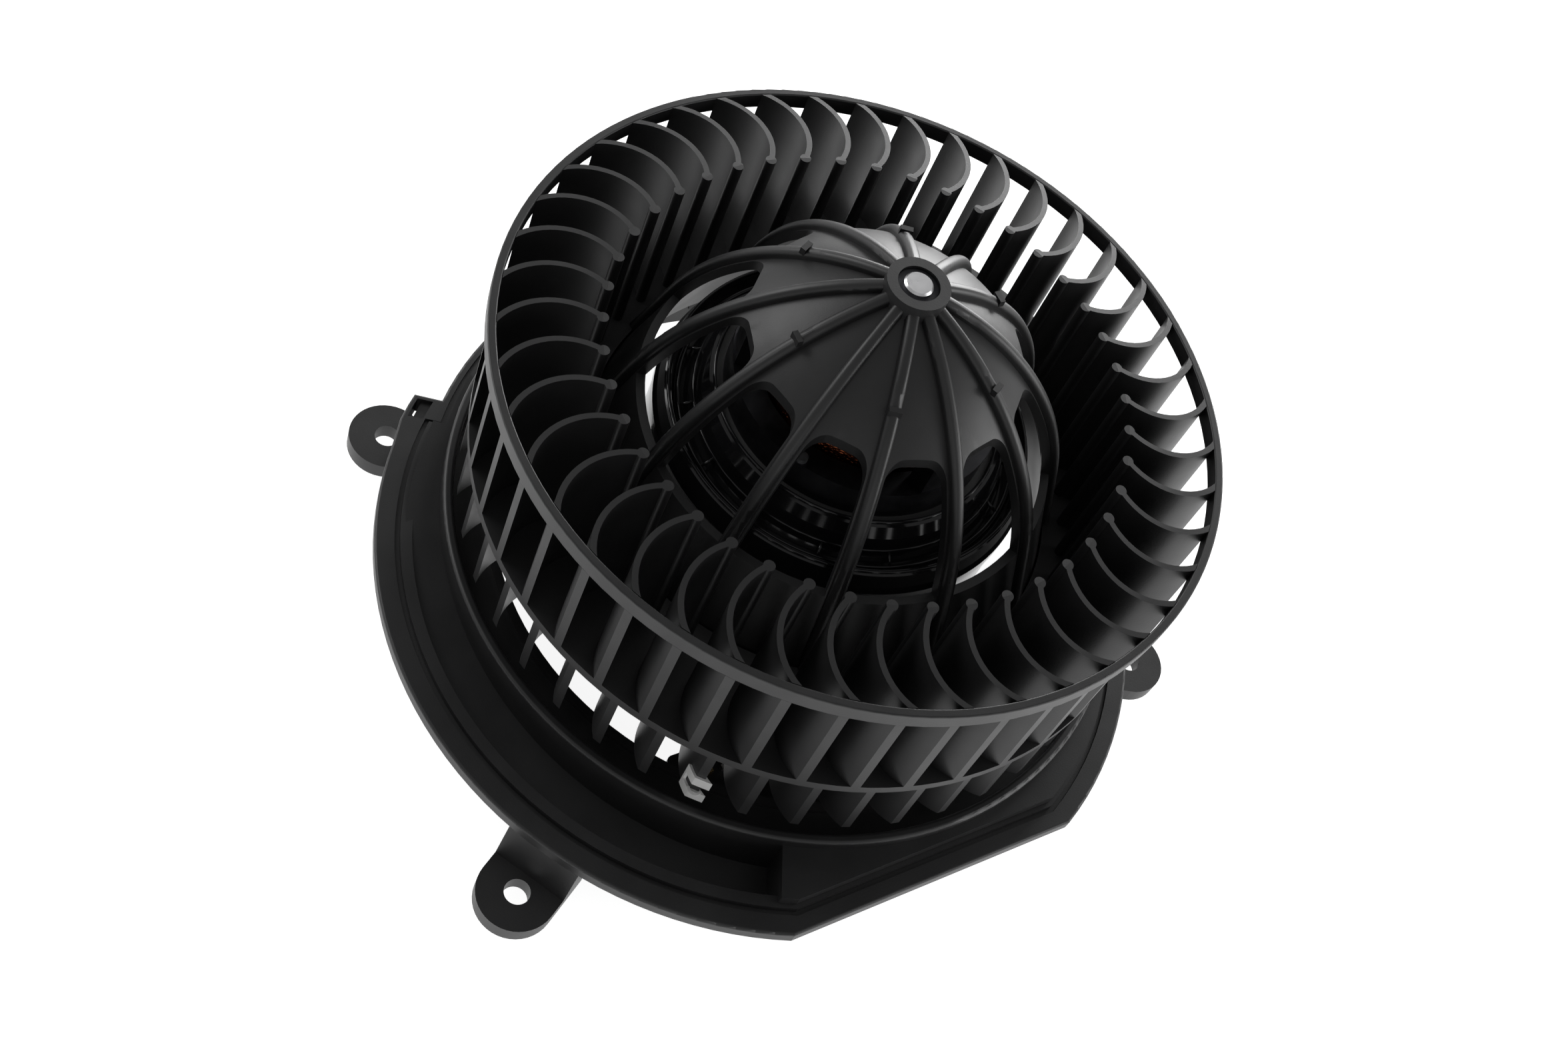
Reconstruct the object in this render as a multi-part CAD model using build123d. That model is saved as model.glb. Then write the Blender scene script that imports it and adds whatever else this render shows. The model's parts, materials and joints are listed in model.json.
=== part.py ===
from build123d import *
import os
from math import acos, asin, atan2, cos, degrees, hypot, pi, radians, sin, sqrt

# Car heater blower: a squirrel-cage fan wheel on an open-frame motor in a flanged holder.
# Millimetres. Z runs along the shaft towards the wheel's nose, and z = 0 is the flat bottom
# of the motor's end cap. Angles are in degrees about Z from +X.

# ---- driving dimensions: fan wheel
WHEEL_R = 77.5
RIM_TOP = 82.0
RIM_HEIGHT = 4.0
RIM_INNER_R = 75.7
RIM_ROUNDING = 0.35
CUT_MARGIN = 1.0
WIDE = 400.0
BLADE_COUNT = 43
BLADE_PITCH = 360 / BLADE_COUNT
BLADE_THICK = 1.2
BLADE_ARC_R = 14.15
BLADE_ARC_X = 63.98
BLADE_ARC_Y = 11.34
BLADE_ARC_START = -128.0
UPPER_BLADE_AZ = 160.35
BEAD_R = 55.5
BEAD_DIA = 2.4
BEAD_RISE = 2.0
PLATE_TOP = 48.4
PLATE_THICK = 2.2
PLATE_OUTER_R = 75.7
PLATE_SPLIT_R = 57.0
LOWER_BLADE_AZ = UPPER_BLADE_AZ + 4.15
LOWER_BLADE_INNER_R = 59.5
LOWER_BLADE_OUTER_R = 75.0
LOWER_BLADE_END = 28.3
CLIP_BLADE = 7
CLIP_INNER_R = 73.2
CLIP_THICK = 0.5
CLIP_PLAY = 0.03
CLIP_HEIGHT = 8.4
CLIP_NOTCH = 2.6
CLIP_LOOP_R = 1.5

# ---- driving dimensions: domed hub
DOME_ARC_R = 65.4
DOME_ARC_X = -15.6
DOME_ARC_Z = 47.35
DOME_SKIN = 1.8
DOME_EYE_R = 5.0
DOME_RIB_RISE = 1.9
DOME_RIB_WIDTH = 2.7
DOME_RIB_ROUNDING = 1.2
DOME_RIB_COUNT = 12
DOME_RIB_AZ = 87.25
DOME_SILL = 66.5
WINDOW_TOP_R = 29.5
WINDOW_FAR_R = 62.0
WINDOW_CORNER = 4.0
WINDOW_SIDE_GAP = 0.5
NOSE_R = 6.5
NOSE_TOP = 110.7
NOSE_BORE_R = 4.3
NOSE_BORE_DEPTH = 2.2
BOSS_BOTTOM = 94.2
NUB_R = 23.3
NUB_LENGTH = 1.2
NUB_HEIGHT = 1.6
DOME_BASE_INNER_R = 51.0

# ---- driving dimensions: motor
SHAFT_R = 3.0
SHAFT_BOTTOM = 4.2
SHAFT_TOP = 110.9
SHAFT_CHAMFER = 0.4
SHAFT_CLIP_R = 4.2
SHAFT_CLIP_TOP = 110.1
WASHER_R = 6.0
LOWER_WASHER_BOTTOM = 10.3
RUNNING_GAP = 0.04
CORE_R = 21.0
CORE_BOTTOM = 42.0
CORE_TOP = 74.0
CORE_SLOTS = 12
CORE_SLOT_R = 14.5
CORE_SLOT_SIZE = (9.0, 4.6)
CORE_SLOT_CORNER = 1.5
SLOT_MOUTH_R = 20.0
SLOT_MOUTH_SIZE = (4.0, 1.8)
SLOT_LINER = 0.2
WINDING_OUTER_R = 19.8
WINDING_INNER_R = 9.0
WINDING_BOTTOM = 31.0
WINDING_TOP = 84.5
WINDING_ROUNDING = 4.5
COMM_R = 11.0
COMM_BARS = 12
COMM_BOTTOM = 14.5
COMM_TOP = 27.0
COMM_SLEEVE_R = 8.5
COMM_SLEEVE_TOP = 30.0
COMM_HOOK_RISE = 1.5
COMM_HOOK_HEIGHT = 1.8
COMM_GAP = 0.6
YOKE_R = 28.5
YOKE_WALL = 2.5
YOKE_BOTTOM = 14.0
YOKE_TOP = 78.0
RIVET_R = 0.8
RIVET_HEAD_R = 1.25
RIVET_HEAD_HEIGHT = 1.0
RIVET_DEPTH = 3.0
MAGNET_INNER_R = 21.6
MAGNET_SPAN = 130.0
MAGNET_BOTTOM = 40.0
MAGNET_TOP = 76.0
MAGNET_CLIP_THICK = 0.8
MAGNET_CLIP_DEPTH = 3.0
MAGNET_CLIP_LEG_R = 24.2
MAGNET_CLIP_BOTTOM = 44.0
MAGNET_CLIP_TOP = 72.0
BRACKET_THICK = 2.5
BRACKET_RING_R = 23.0
BRACKET_ARM_WIDTH = 7.0
BRACKET_LEG = 4.5
BRACKET_ARM_BOTTOM = 86.5
BRACKET_ARM_TOP = 89.5
BRACKET_ARM_INNER_R = 4.0
BRACKET_BOSS_R = 9.0
BRACKET_BOSS_BOTTOM = 86.0
BRACKET_BOSS_TOP = 93.0
BRACKET_EYE_R = 4.2
UPPER_SEAT = 86.8
UPPER_BEARING_TOP = 92.8
UPPER_WASHER_BOTTOM = 93.1
END_CAP_R = 30.5
END_CAP_TOP = 20.0
END_CAP_FLOOR = 3.0
END_CAP_BEVEL = 2.5
END_CAP_BORE_R = 24.0
BEARING_CUP_R = 9.5
LOWER_SEAT = 3.8
LOWER_BEARING_TOP = 10.0
VENT_COUNT = 10
VENT_R = 17.0
VENT_SIZE = (10.0, 4.0)
CARD_BOTTOM = 11.0
CARD_TOP = 13.0
CARD_INNER_R = 8.0
CARD_NOTCH_R = 22.0
CARD_NOTCH_WIDTH = 3.0
BEARING_R = 6.0
BRUSH_GAP = 0.08
POST_X = 17.8
POST_Y = 14.6
POST_R = 1.2
POST_TOP = 25.8
POST_HEAD_R = 2.1
POST_HEAD_HEIGHT = 1.2
BRUSH_Z = 20.0
BRUSH_BACK = 17.1
BRUSH_WIDTH = 5.0
BRUSH_HEIGHT = 6.0
ARM_STRIP = (1.0, 15.5, 4.4)
ARM_STRIP_Y = 5.0
ARM_EYE_R = 2.4
ARM_EYE_HEIGHT = 8.0
ARM_EYE_PLAY = 0.05
CHOKE_Y = 19.6
CHOKE_Z = 16.6
CHOKE_CORE_R = 1.8
CHOKE_CORE_LENGTH = 15.0
CHOKE_COIL_R = 3.0
CHOKE_COIL_LENGTH = 11.0
CAPACITOR_Y = -14.7
CAPACITOR_SIZE = (7.0, 2.4, 8.4)
CAPACITOR_ROUNDING = 0.8

# ---- driving dimensions: holder and mounting flange
HOLDER_R = 40.5
HOLDER_WALL = 2.5
HOLDER_BOTTOM = 8.2
HOLDER_WALL_TOP = 62.0
HOLDER_FLOOR = 2.5
HOLDER_FLOOR_R = 31.2
HOLDER_SLOT_COUNT = 15
HOLDER_SLOT_WIDTH = 7.5
HOLDER_SLOT_BOTTOM = 26.0
HOLDER_SLOT_TOP = 56.0
SHOULDER_OUTSIDE = ((40.5, 60.0), (40.9, 61.0), (40.9, 63.6), (40.2, 64.8), (39.4, 68.0), (38.2, 68.6),
                    (37.0, 66.4), (34.8, 65.6), (33.9, 66.6), (32.6, 71.0), (31.4, 73.4), (30.0, 73.8))
SHOULDER_INSIDE = ((30.0, 59.0), (31.6, 59.0), (31.6, 63.2), (38.0, 63.2), (38.0, 60.0))
DAMPER_BOTTOM = 59.0
DAMPER_TOP = 73.0
DAMPER_R = 30.0
LOWER_DAMPER_TOP = 17.0
ARM_AZ = (255.0, 20.0, 140.0)
ARM_TOP = 19.0
ARM_THICK = 4.0
ARM_WIDTH = 15.0
ARM_END_R = 71.0
FIN_END_R = 67.0
FIN_THICK = 2.5
FIN_DEPTH = 5.6
FIN_OVERLAP = 0.6
LUG_R = 47.5
LUG_WIDTH = 10.0
LUG_THICK = 3.0
SCREW_R = 1.9
SCREW_PLAY = 0.1
SCREW_HEAD_R = 3.8
SCREW_HEAD_HEIGHT = 2.4
SCREW_HEAD_ROUNDING = 1.0
SCREW_LENGTH = 7.0
DRIVE_LENGTH = 4.2
DRIVE_WIDTH = 0.9
DRIVE_DEPTH = 0.9
FLANGE_X = -7.4
FLANGE_Y = -6.0
FLANGE_R = 86.7
FLANGE_BACK_R = 82.2
FLANGE_TOP = 20.0
FLANGE_THICK = 3.0
FLANGE_ROUNDING = 0.6
RIDGE_R = 81.4
RIDGE_BACK_R = 79.5
RIDGE_RISE = 0.8
GROOVE_WIDTH = 1.1
GROOVE_DEPTH = 0.7
CHORD_Y = -85.2
RIDGE_CHORD_Y = -80.6
SKIRT_WALL = 2.5
SKIRT_BACK_WALL = 1.5
SKIRT_CORNER_WALL = 2.0
SKIRT_BOTTOM = 6.0
LIP_OUTER_R = 77.7
LIP_INNER_R = 75.4
LIP_TOP = 26.0
LIP_BOTTOM = 9.0
LIP_ROUNDING = 0.8
CORNER_LINE = ((-65.3, 59.6), (-60.5, 56.6))
CORNER_R = 87.4
CORNER_AZ = (141.0, 136.5, 133.5, 130.0)
CORNER_WALL = 1.15
CORNER_INSET = 7.2
CORNER_DEPTH = 4.8
CORNER_SLOT = 5.2
CORNER_SLOT_R = 82.9
CORNER_REACH = 16.0
SCROLL_TOP = 23.5
SCROLL_LOW = 12.0
SCROLL_STEP_AZ = -119.0
SCROLL_END_AZ = 132.0
SCROLL_MIDDLE_R = 78.0
FLOOR_THICK = 2.5
FLOOR_BITE = 1.0
STEP_OVERLAP = 2.0
OPENING_R = 66.5
OPENING_EDGE = 2.0
OPENING_EDGE_BOTTOM = 14.0
SEAT_WALL = 4.0
SEAT_PLAY = 0.1
COLLAR_PLATE_TOP = 20.5
EAR_TOP = 7.6
EAR_THICK = 4.0
EAR_R = 8.5
EAR_HOLE_R = 2.75
HOLE_MARGIN = 1.2
ROOT_RUN = 1.5
ROOT_BITE = 1.0
EARS = ((-87.1, -52.7, 8.5), (-70.7, 58.1, 5.5), (73.7, -51.8, 8.5))

# ---- driving dimensions: electrical connection
CONNECTOR_X = -39.0
CONNECTOR_Y = -45.0
CONNECTOR_SIZE = (18.0, 13.0, 12.0)
CONNECTOR_TOP = 14.0
CONNECTOR_WALL = 1.5
CONNECTOR_TAB = (22.0, 10.0, 2.2)
CONNECTOR_TAB_SHIFT = 4.5
TERMINAL_SPACING = 8.4
TERMINAL_WIDTH = 6.3
TERMINAL_THICK = 0.8
TERMINAL_TOP = 15.5
TERMINAL_INSET = 2.0
LEAD_R = 1.3
LEAD_PLAY = 0.05
LEAD_Z = 6.5
LEAD_START_R = 25.5
LEAD_START_AZ = 229.0
LEAD_START_SPREAD = 8.0


def save(node, shape):
    """Writes one sub-part to its own STEP file."""
    shape.label = node
    export_step(shape, f"parts/{node}.step")


def polar(radius, az, z=0.0):
    """A point at a radius, azimuth and height."""
    return (radius * cos(radians(az)), radius * sin(radians(az)), z)


def ring(outer, inner, bottom, top):
    """An annular ring on the axis."""
    section = Circle(outer) - Circle(inner)
    return Pos(0, 0, bottom) * extrude(section, top - bottom)


def disc(radius, bottom, top):
    """A plain cylinder on the axis."""
    return Pos(0, 0, bottom) * extrude(Circle(radius), top - bottom)


def turned(points):
    """A solid of revolution from a closed outline of (radius, z) points."""
    outline = Polyline(*[(r, 0, z) for r, z in points], close=True)
    return revolve(make_face(outline), Axis.Z, 360)


def around(solid, count, start=0.0):
    """Copies of a solid at equal steps about the axis."""
    return [Rot(0, 0, start + 360 / count * i) * solid for i in range(count)]


def wedge(radius, az_from, az_to, bottom, top):
    """A pie slice of up to 180 degrees, from one azimuth up to another."""
    middle = (az_from + az_to) / 2
    reach = radius / cos(radians((az_to - az_from) / 4))
    corners = [(0, 0)]
    for az in (az_from, (az_from + middle) / 2, middle, (middle + az_to) / 2, az_to):
        corners.append(polar(reach, az)[:2])
    return Pos(0, 0, bottom) * extrude(make_face(Polyline(*corners, close=True)), top - bottom)


# ---- fan wheel


def circle_meets_rim(arc_radius, rim_radius):
    """Where a circle about the blade's arc centre crosses the wheel's circle, on the near side."""
    span = hypot(BLADE_ARC_X, BLADE_ARC_Y)
    along = (span**2 + rim_radius**2 - arc_radius**2) / (2 * span)
    across = sqrt(rim_radius**2 - along**2)
    ux, uy = BLADE_ARC_X / span, BLADE_ARC_Y / span
    return (along * ux + across * uy, along * uy - across * ux)


def arc_point(radius, angle):
    """A point on a circle about the blade's arc centre."""
    return (BLADE_ARC_X + radius * cos(angle), BLADE_ARC_Y + radius * sin(angle))


def blade_face(inner_r, outer_r, thick=BLADE_THICK):
    """A forward-curved blade in plan, between two radii from the wheel's axis, near azimuth 0."""
    loops = []
    for radius in (BLADE_ARC_R + thick / 2, BLADE_ARC_R - thick / 2):
        end = circle_meets_rim(radius, outer_r)
        end_angle = atan2(end[1] - BLADE_ARC_Y, end[0] - BLADE_ARC_X)
        span = hypot(BLADE_ARC_X, BLADE_ARC_Y)
        reach = (span**2 + radius**2 - inner_r**2) / (2 * span * radius)
        start_angle = atan2(BLADE_ARC_Y, BLADE_ARC_X) - pi + acos(min(1.0, reach))
        start_angle = max(start_angle, radians(BLADE_ARC_START))
        middle = arc_point(radius, (start_angle + end_angle) / 2)
        loops.append((arc_point(radius, start_angle), middle, end))
    outside, inside = loops
    tip_az = (atan2(outside[2][1], outside[2][0]) + atan2(inside[2][1], inside[2][0])) / 2
    tip = (outer_r * cos(tip_az), outer_r * sin(tip_az))
    edges = [
        ThreePointArc(*outside),
        ThreePointArc(outside[2], tip, inside[2]),
        ThreePointArc(*reversed(inside)),
        Line(inside[0], outside[0]),
    ]
    return make_face(Wire(edges))


def wheel_rim():
    """The plain top rim, rounded along its edges."""
    rim = ring(WHEEL_R, RIM_INNER_R, RIM_TOP - RIM_HEIGHT, RIM_TOP)
    return fillet(rim.edges().filter_by(GeomType.CIRCLE), RIM_ROUNDING)


def upper_blades():
    """The upper blades between plate and rim: beaded inner edges rise a little above the rim."""
    peak = RIM_TOP + BEAD_RISE
    section = blade_face(BEAD_R, RIM_INNER_R) + Pos(BEAD_R, 0) * Circle(BEAD_DIA / 2)
    blade = Pos(0, 0, PLATE_TOP) * extrude(section, peak + CUT_MARGIN - PLATE_TOP)
    above = peak + 2 * CUT_MARGIN
    slope = turned([(0, above), (0, peak), (BEAD_R, peak), (RIM_INNER_R, RIM_TOP), (WHEEL_R, RIM_TOP),
                    (WHEEL_R, above)])
    return Compound(around(blade - slope, BLADE_COUNT, UPPER_BLADE_AZ))


def lower_blades():
    """The short blades that hang from the mid ring."""
    length = PLATE_TOP - PLATE_THICK - LOWER_BLADE_END
    section = blade_face(LOWER_BLADE_INNER_R, LOWER_BLADE_OUTER_R)
    blade = Pos(0, 0, LOWER_BLADE_END) * extrude(section, length)
    return Compound(around(blade, BLADE_COUNT, LOWER_BLADE_AZ))


def balance_clip():
    """A spring clip over one lower blade's outer edge, with a loop in the notch of its fold."""
    gap = BLADE_THICK + 2 * CLIP_PLAY
    fold_r = LOWER_BLADE_OUTER_R + CLIP_PLAY
    inside = blade_face(CLIP_INNER_R - CUT_MARGIN, fold_r, gap)
    outside = blade_face(CLIP_INNER_R, fold_r + CLIP_THICK, gap + 2 * CLIP_THICK)
    shell = extrude(outside - inside, CLIP_HEIGHT)
    tip = circle_meets_rim(BLADE_ARC_R, LOWER_BLADE_OUTER_R)
    notch = Pos(*tip, CLIP_HEIGHT / 2) * Box(2 * CLIP_LOOP_R, 4 * CLIP_LOOP_R, CLIP_NOTCH)
    inner_half = Pos(-CLIP_LOOP_R, 0) * Rectangle(2 * CLIP_LOOP_R, 3 * CLIP_LOOP_R)
    loop = Circle(CLIP_LOOP_R) - Circle(CLIP_LOOP_R - CLIP_THICK) - inner_half
    loop = extrude(Pos(tip[0] + CLIP_PLAY, tip[1]) * loop, CLIP_THICK)
    clip = shell - notch + Pos(0, 0, (CLIP_HEIGHT - CLIP_NOTCH) / 2) * loop
    return Pos(0, 0, LOWER_BLADE_END) * Rot(0, 0, LOWER_BLADE_AZ + CLIP_BLADE * BLADE_PITCH) * clip


def dome_outline(outer_drop, inner_drop):
    """The dome's section between two depths below its rib crest, as a closed face in XZ."""
    sill_angle = asin((DOME_SILL - DOME_ARC_Z) / DOME_ARC_R)
    sides = []
    for drop in (outer_drop, inner_drop):
        radius = DOME_ARC_R - drop
        top_angle = acos((DOME_EYE_R - DOME_ARC_X) / radius)
        points = []
        for angle in (top_angle, (top_angle + sill_angle) / 2, sill_angle):
            points.append((DOME_ARC_X + radius * cos(angle), 0, DOME_ARC_Z + radius * sin(angle)))
        x, _, z = points[2]
        fall = z - (PLATE_TOP - PLATE_THICK)
        foot = (x + fall * sin(sill_angle) / cos(sill_angle), 0, PLATE_TOP - PLATE_THICK)
        sides.append((points, foot))
    (outer, outer_foot), (inner, inner_foot) = sides
    edges = [
        ThreePointArc(*outer),
        Line(outer[2], outer_foot),
        Line(outer_foot, inner_foot),
        Line(inner_foot, inner[2]),
        ThreePointArc(*reversed(inner)),
        Line(inner[0], outer[0]),
    ]
    return make_face(Wire(edges))


def window_cutter():
    """One window between two ribs, in plan, with rounded upper corners."""
    half_pitch = 180 / DOME_RIB_COUNT
    side = DOME_RIB_WIDTH / 2 + WINDOW_SIDE_GAP
    corners = []
    for reach, sign in ((WINDOW_TOP_R, -1), (WINDOW_FAR_R, -1), (WINDOW_FAR_R, 1), (WINDOW_TOP_R, 1)):
        half = reach * sin(radians(half_pitch)) - side / cos(radians(half_pitch))
        corners.append((reach * cos(radians(half_pitch)), sign * half))
    plan = make_face(Polyline(*corners, close=True))
    inner = plan.vertices().sort_by(Axis.X)[:2]
    plan = fillet(inner, WINDOW_CORNER)
    return Pos(0, 0, DOME_SILL) * extrude(plan, NOSE_TOP - DOME_SILL)


def dome_rib():
    """One rounded rib near azimuth 0, from the boss down over the sill to below the base."""
    sill_angle = asin((DOME_SILL - DOME_ARC_Z) / DOME_ARC_R)
    top_angle = acos((DOME_EYE_R - DOME_ARC_X) / DOME_ARC_R)
    stations = []
    for angle in (top_angle, (top_angle + sill_angle) / 2, sill_angle):
        out = DOME_ARC_X + DOME_ARC_R * cos(angle)
        stations.append((out, 0, DOME_ARC_Z + DOME_ARC_R * sin(angle)))
    fall = stations[2][2] - PLATE_TOP + 2 * PLATE_THICK
    foot = (stations[2][0] + fall * sin(sill_angle) / cos(sill_angle), 0, stations[2][2] - fall)
    path = Wire([ThreePointArc(*stations), Line(stations[2], foot)])
    depth = DOME_RIB_RISE + DOME_SKIN
    section = Pos(0, -depth / 2) * Rectangle(DOME_RIB_WIDTH, depth)
    section = fillet(section.vertices().group_by(Axis.Y)[-1], DOME_RIB_ROUNDING)
    start = Plane(origin=stations[0], x_dir=(0, 1, 0), z_dir=(sin(top_angle), 0, -cos(top_angle)))
    return sweep(start * section, path)


def dome():
    """The ribbed, windowed dome that carries the wheel, with its boss and base flange."""
    crest = DOME_RIB_RISE
    skin = revolve(dome_outline(crest, crest + DOME_SKIN), Axis.Z, 360)
    windows = around(window_cutter(), DOME_RIB_COUNT, DOME_RIB_AZ + 180 / DOME_RIB_COUNT)
    skin = skin.cut(*windows)
    ribs = around(dome_rib(), DOME_RIB_COUNT, DOME_RIB_AZ)
    nub_z = DOME_ARC_Z + sqrt(DOME_ARC_R**2 - (NUB_R - DOME_ARC_X) ** 2)
    nub = Pos(NUB_R, 0, nub_z) * Box(NUB_LENGTH, DOME_RIB_WIDTH, NUB_HEIGHT)
    nubs = around(nub, DOME_RIB_COUNT // 2, DOME_RIB_AZ + 360 / DOME_RIB_COUNT)
    boss = disc(NOSE_R, BOSS_BOTTOM, NOSE_TOP)
    base = ring(PLATE_SPLIT_R, DOME_BASE_INNER_R, PLATE_TOP - PLATE_THICK, PLATE_TOP)
    solid = skin.fuse(*ribs, *nubs, boss, base) - disc(WINDOW_FAR_R, 0, PLATE_TOP - PLATE_THICK)
    solid = solid - disc(SHAFT_R, 0, NOSE_TOP + CUT_MARGIN)
    return solid - disc(NOSE_BORE_R, NOSE_TOP - NOSE_BORE_DEPTH, NOSE_TOP + CUT_MARGIN)


# ---- rotor inside the motor


def shaft():
    """The steel shaft, chamfered at both ends."""
    rod = disc(SHAFT_R, SHAFT_BOTTOM, SHAFT_TOP)
    ends = rod.edges().filter_by(GeomType.CIRCLE)
    return chamfer(ends, SHAFT_CHAMFER)


def armature_core():
    """The laminated core with its winding slots."""
    slot = Pos(CORE_SLOT_R, 0) * RectangleRounded(*CORE_SLOT_SIZE, CORE_SLOT_CORNER)
    slot += Pos(SLOT_MOUTH_R, 0) * Rectangle(*SLOT_MOUTH_SIZE)
    section = Circle(CORE_R) - Circle(SHAFT_R)
    for i in range(CORE_SLOTS):
        section -= Rot(0, 0, 360 / CORE_SLOTS * i) * slot
    return Pos(0, 0, CORE_BOTTOM) * extrude(section, CORE_TOP - CORE_BOTTOM)


def end_turns(low, high):
    """One rounded bundle of end turns."""
    width = WINDING_OUTER_R - WINDING_INNER_R
    bulk = RectangleRounded(width, high - low, WINDING_ROUNDING)
    middle = (WINDING_OUTER_R + WINDING_INNER_R) / 2
    section = Plane.XZ * Pos(middle, (low + high) / 2) * bulk
    return revolve(section, Axis.Z, 360)


def armature_windings():
    """The copper in the slots, joined to the end turns above and below the core."""
    length, width = (size - 2 * SLOT_LINER for size in CORE_SLOT_SIZE)
    section = RectangleRounded(length, width, CORE_SLOT_CORNER - SLOT_LINER)
    bar = Pos(CORE_SLOT_R, 0, CORE_BOTTOM) * extrude(section, CORE_TOP - CORE_BOTTOM)
    top = end_turns(CORE_TOP, WINDING_TOP)
    bottom = end_turns(WINDING_BOTTOM, CORE_BOTTOM)
    return top.fuse(bottom, *around(bar, CORE_SLOTS))


def commutator_core():
    """The moulded sleeve that carries the commutator bars."""
    return ring(COMM_SLEEVE_R, SHAFT_R, COMM_BOTTOM - 1, COMM_SLEEVE_TOP)


def commutator_bars():
    """Separate copper bars, each with a raised hook for its wire."""
    whole = ring(COMM_R, COMM_SLEEVE_R, COMM_BOTTOM, COMM_TOP)
    whole += ring(COMM_R + COMM_HOOK_RISE, COMM_SLEEVE_R, COMM_TOP, COMM_TOP + COMM_HOOK_HEIGHT)
    gap = Pos(COMM_R, 0, (COMM_BOTTOM + COMM_TOP) / 2) * Box(2 * COMM_R, COMM_GAP, 2 * COMM_TOP)
    return whole.cut(*around(gap, COMM_BARS, 180 / COMM_BARS))


# ---- fixed motor parts


def motor_yoke():
    """The steel tube of the motor, with three blind holes for the bracket rivets."""
    tube = ring(YOKE_R, YOKE_R - YOKE_WALL, YOKE_BOTTOM, YOKE_TOP)
    hole = Pos(YOKE_R - YOKE_WALL / 2, 0, YOKE_TOP - RIVET_DEPTH / 2) * Cylinder(RIVET_R, RIVET_DEPTH)
    return tube.cut(*around(hole, 3, 90))


def magnet():
    """One arc magnet, centred on +X."""
    tile = ring(YOKE_R - YOKE_WALL, MAGNET_INNER_R, MAGNET_BOTTOM, MAGNET_TOP)
    return tile & wedge(HOLDER_R, -MAGNET_SPAN / 2, MAGNET_SPAN / 2, YOKE_BOTTOM, YOKE_TOP)


def magnet_clips():
    """Two spring strips that push the magnets apart against the yoke."""
    half = 90 - MAGNET_SPAN / 2
    outer = YOKE_R - YOKE_WALL
    strip = ring(outer, outer - MAGNET_CLIP_THICK, MAGNET_CLIP_BOTTOM, MAGNET_CLIP_TOP)
    strip = strip & wedge(HOLDER_R, 90 - half, 90 + half, YOKE_BOTTOM, YOKE_TOP)
    leg = Box(MAGNET_CLIP_DEPTH, MAGNET_CLIP_THICK, MAGNET_CLIP_TOP - MAGNET_CLIP_BOTTOM)
    leg = Pos(MAGNET_CLIP_LEG_R, 0, (MAGNET_CLIP_TOP + MAGNET_CLIP_BOTTOM) / 2) * leg
    left = Rot(0, 0, 90 - half) * Pos(0, MAGNET_CLIP_THICK / 2, 0) * leg
    right = Rot(0, 0, 90 + half) * Pos(0, -MAGNET_CLIP_THICK / 2, 0) * leg
    clip = strip + left + right
    return Compound([clip, Rot(0, 0, 180) * clip])


def upper_bracket():
    """The three-armed steel bracket over the yoke, with the upper bearing's seat."""
    base = ring(YOKE_R, BRACKET_RING_R, YOKE_TOP, YOKE_TOP + BRACKET_THICK)
    outer = BRACKET_RING_R + BRACKET_LEG + 0.5
    leg_height = BRACKET_ARM_TOP - YOKE_TOP
    leg = Box(BRACKET_LEG, BRACKET_ARM_WIDTH, leg_height)
    leg = Pos(outer - BRACKET_LEG / 2, 0, YOKE_TOP + leg_height / 2) * leg
    arm = Box(outer - BRACKET_ARM_INNER_R, BRACKET_ARM_WIDTH, BRACKET_ARM_TOP - BRACKET_ARM_BOTTOM)
    arm = Pos((outer + BRACKET_ARM_INNER_R) / 2, 0, (BRACKET_ARM_TOP + BRACKET_ARM_BOTTOM) / 2) * arm
    boss = disc(BRACKET_BOSS_R, BRACKET_BOSS_BOTTOM, BRACKET_BOSS_TOP)
    bracket = base.fuse(boss, *around(leg + arm, 3, 30))
    bracket = bracket - disc(BEARING_R + 1, UPPER_SEAT, BRACKET_BOSS_TOP + CUT_MARGIN)
    bracket = bracket - disc(BRACKET_EYE_R, YOKE_TOP, UPPER_SEAT + CUT_MARGIN)
    hole = Pos(YOKE_R - YOKE_WALL / 2, 0, YOKE_TOP) * Cylinder(RIVET_R, 3 * RIVET_DEPTH)
    return bracket.cut(*around(hole, 3, 90))


def bracket_rivets():
    """Three rivets from the bracket into the yoke's wall."""
    length = RIVET_DEPTH + BRACKET_THICK
    shank = Pos(0, 0, YOKE_TOP - RIVET_DEPTH + length / 2) * Cylinder(RIVET_R, length)
    head = Cylinder(RIVET_HEAD_R, RIVET_HEAD_HEIGHT)
    head = Pos(0, 0, YOKE_TOP + BRACKET_THICK + RIVET_HEAD_HEIGHT / 2) * head
    return Compound(around(Pos(YOKE_R - YOKE_WALL / 2, 0, 0) * (shank + head), 3, 90))


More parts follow.
